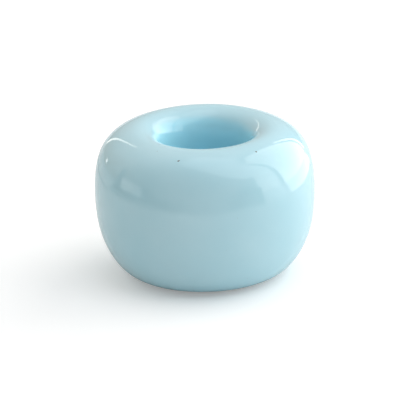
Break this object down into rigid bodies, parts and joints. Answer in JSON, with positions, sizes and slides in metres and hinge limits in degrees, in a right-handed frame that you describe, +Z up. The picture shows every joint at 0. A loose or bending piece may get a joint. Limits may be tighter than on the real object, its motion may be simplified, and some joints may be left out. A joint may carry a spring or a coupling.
{
  "type": "toothbrush stand",
  "caption": "Squat glazed ceramic ring with a soft flared hole down its axis, which holds one toothbrush upright on a bare clay foot.",
  "frame": {"origin": "centre of the foot, on the surface that the stand rests on", "axes": "+Z up, along the hole; the stand is round about Z, so X and Y are alike"},
  "size_m": [0.0442, 0.0442, 0.03],
  "materials": {
    "clay": "bare fired clay, matte and fine-grained",
    "glaze": "glossy pale blue glaze with fine iron specks"
  },
  "bodies": {
    "root": {"clay_body": "clay", "glaze_coat": "glaze"}
  },
  "joints": []
}
